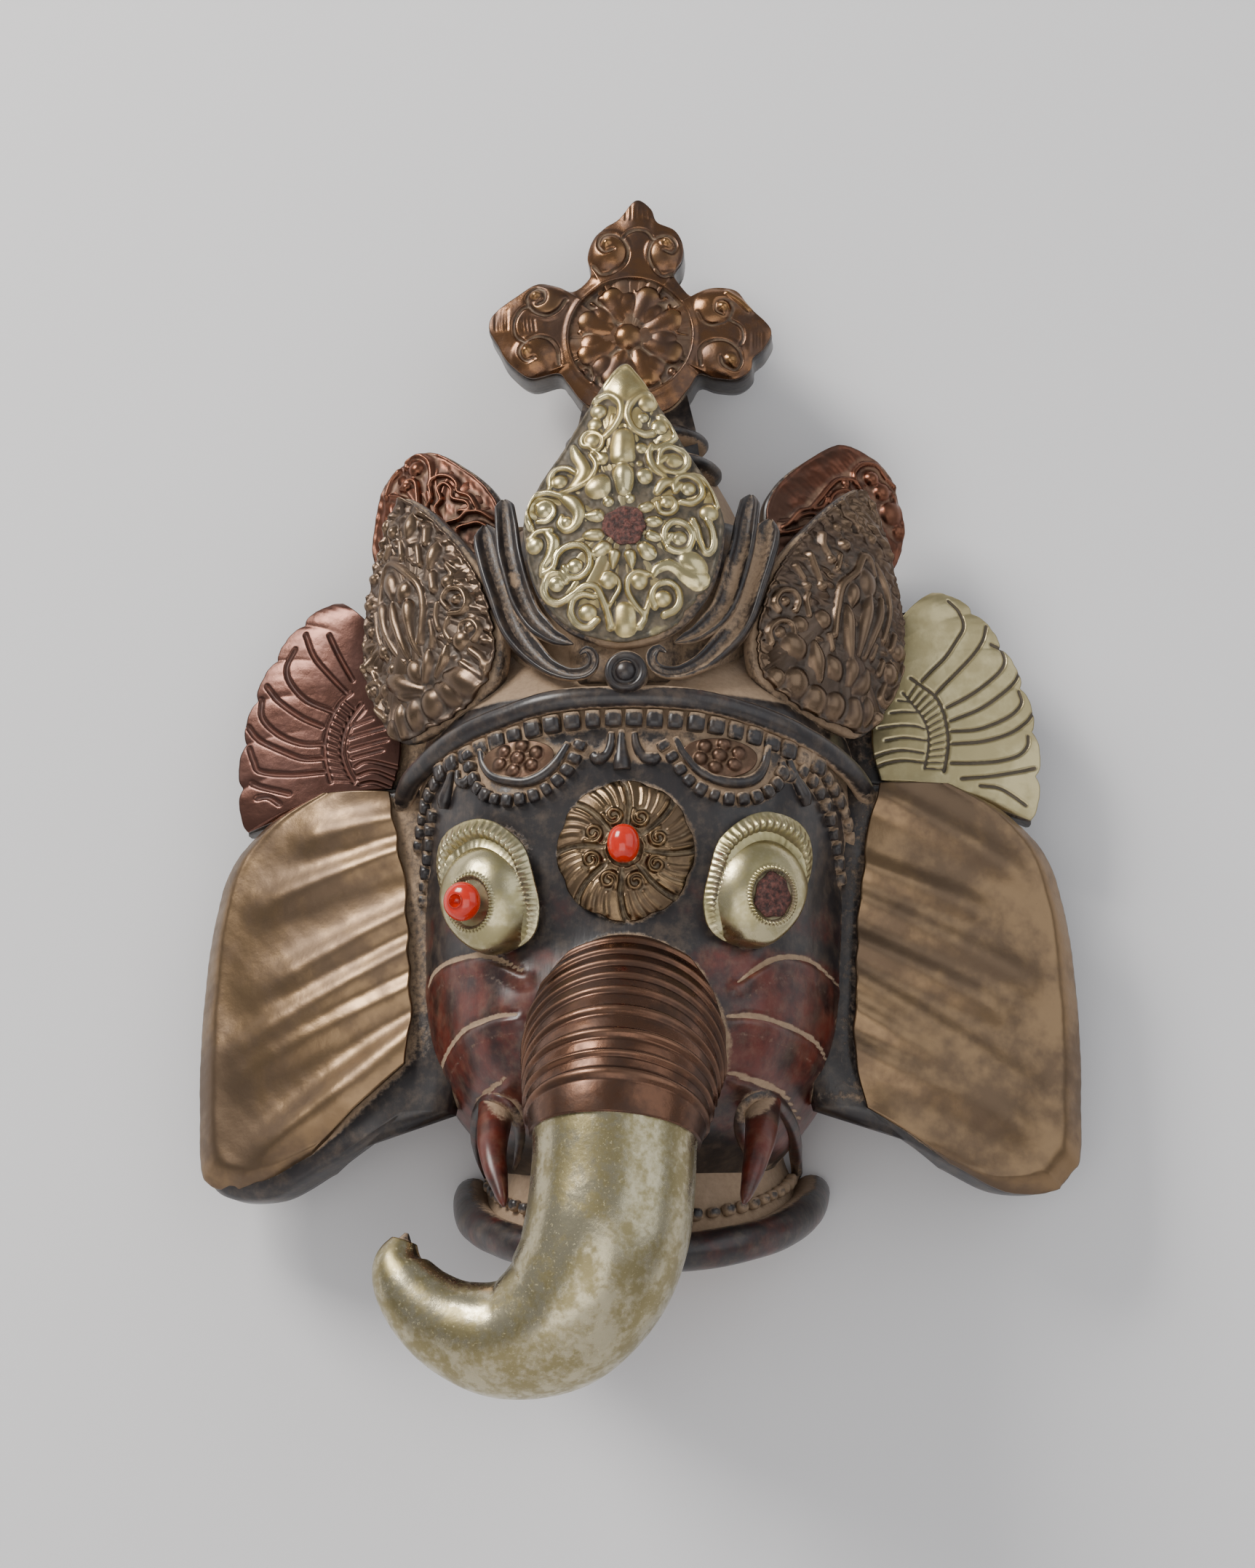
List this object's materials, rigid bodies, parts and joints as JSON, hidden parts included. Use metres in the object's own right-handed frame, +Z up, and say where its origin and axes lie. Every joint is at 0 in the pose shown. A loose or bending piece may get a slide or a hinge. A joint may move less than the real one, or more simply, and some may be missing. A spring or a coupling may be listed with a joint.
{
  "type": "carved elephant-head wall mask",
  "caption": "Carved wooden elephant-head mask with crown, fan ears and curled trunk, faced with beaten metal sheets, flat-backed to hang on a wall.",
  "frame": {"origin": "hanging point on the mask's flat back, on its middle line", "axes": "+Y into the wall, the mask faces -Y; +Z up; +X to the viewer's right"},
  "size_m": [0.215, 0.1039, 0.3113],
  "materials": {
    "lacquered_wood": "aged dark lacquer with dust in the carving",
    "copper": "beaten and tarnished copper sheet",
    "brown_copper": "brown tarnished copper sheet",
    "bronze": "dull brown bronze sheet",
    "brass": "aged satin brass sheet",
    "white_metal": "yellowed silvery sheet",
    "coral": "polished coral red",
    "residue": "dry brown residue"
  },
  "bodies": {
    "root": {"carved_head": "lacquered_wood", "finial_sheet": "copper", "crown_front_sheet": "white_metal", "crown_left_sheet": "bronze", "crown_right_sheet": "bronze", "rear_left_sheet": "copper", "rear_right_sheet": "copper", "fan_left_sheet": "brown_copper", "fan_right_sheet": "white_metal", "ear_left_sheet": "brass", "ear_right_sheet": "brass", "rosette": "brass", "eye_left": "white_metal", "eye_right": "white_metal", "pendant_plaque_left": "brown_copper", "pendant_plaque_right": "brown_copper", "trunk_copper_sleeve": "copper", "trunk_silver_sleeve": "white_metal", "coral_bead_forehead": "coral", "coral_bead_eye": "coral", "pupil_residue": "residue", "seat_residue": "residue"}
  },
  "joints": []
}
